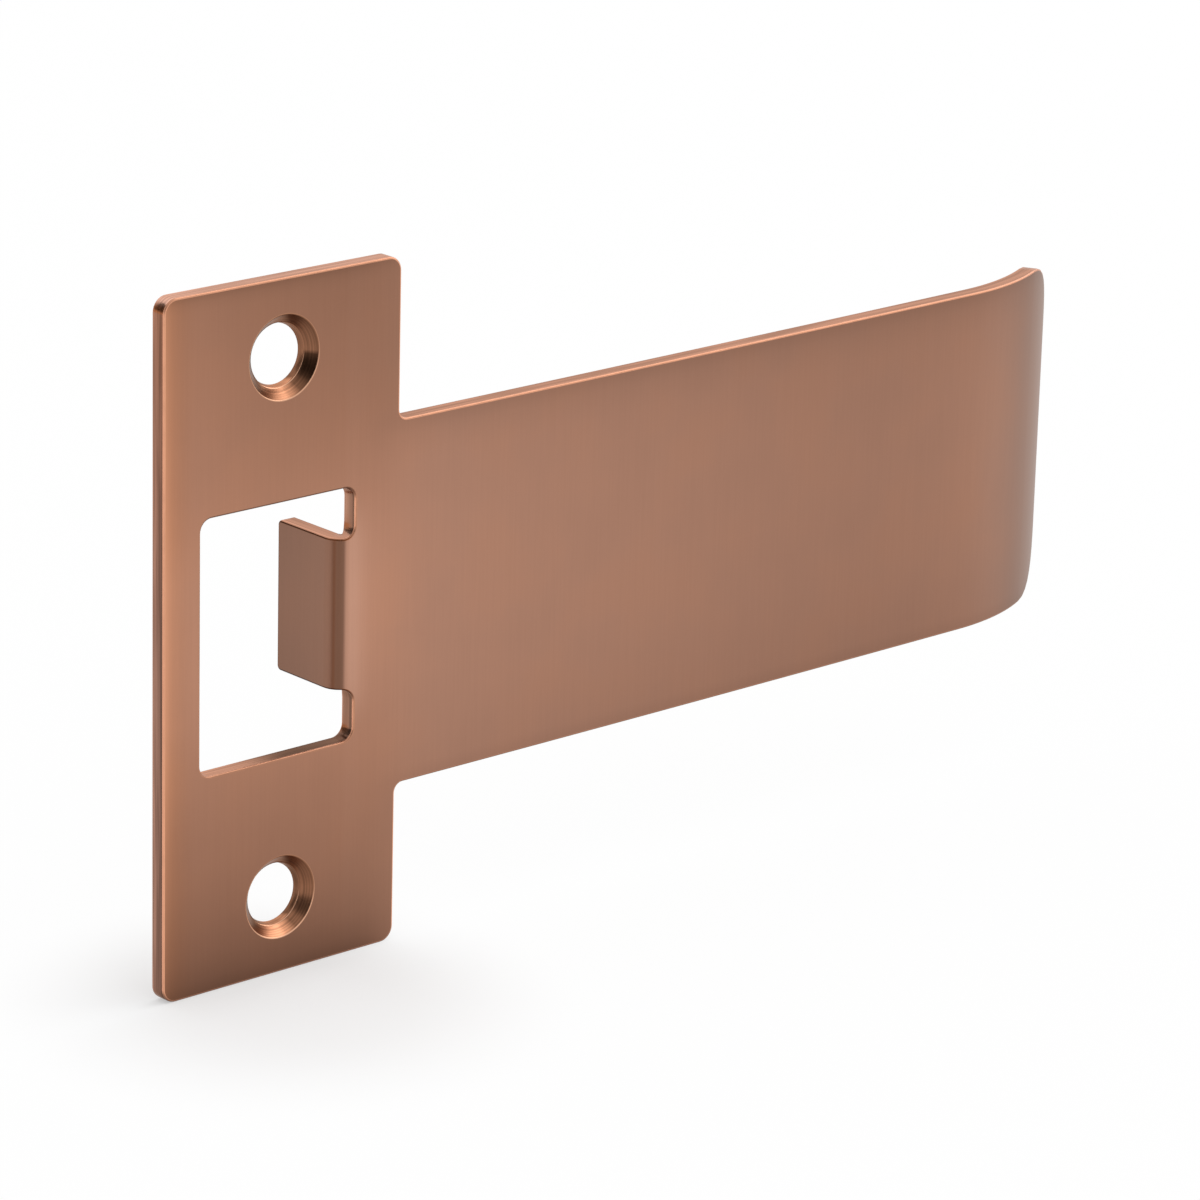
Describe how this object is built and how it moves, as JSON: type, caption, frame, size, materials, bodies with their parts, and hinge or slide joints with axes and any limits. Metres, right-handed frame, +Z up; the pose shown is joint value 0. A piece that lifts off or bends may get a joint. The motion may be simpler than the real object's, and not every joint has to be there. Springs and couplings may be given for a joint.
{
  "type": "door strike plate",
  "caption": "Folded sheet-metal door strike plate: tall flange with countersunk screw holes, a latch opening with a bent tab, and a long curled lip.",
  "frame": {"origin": "centre of the pair of screw holes, on the back face of the flange", "axes": "+X along the lip, away from the flange; +Y into the door frame, square to the back face; +Z up along the flange"},
  "size_m": [0.1255, 0.0093, 0.07],
  "materials": {
    "copper_sheet": "satin brushed copper"
  },
  "bodies": {
    "root": {"strike_plate": "copper_sheet"}
  },
  "joints": []
}
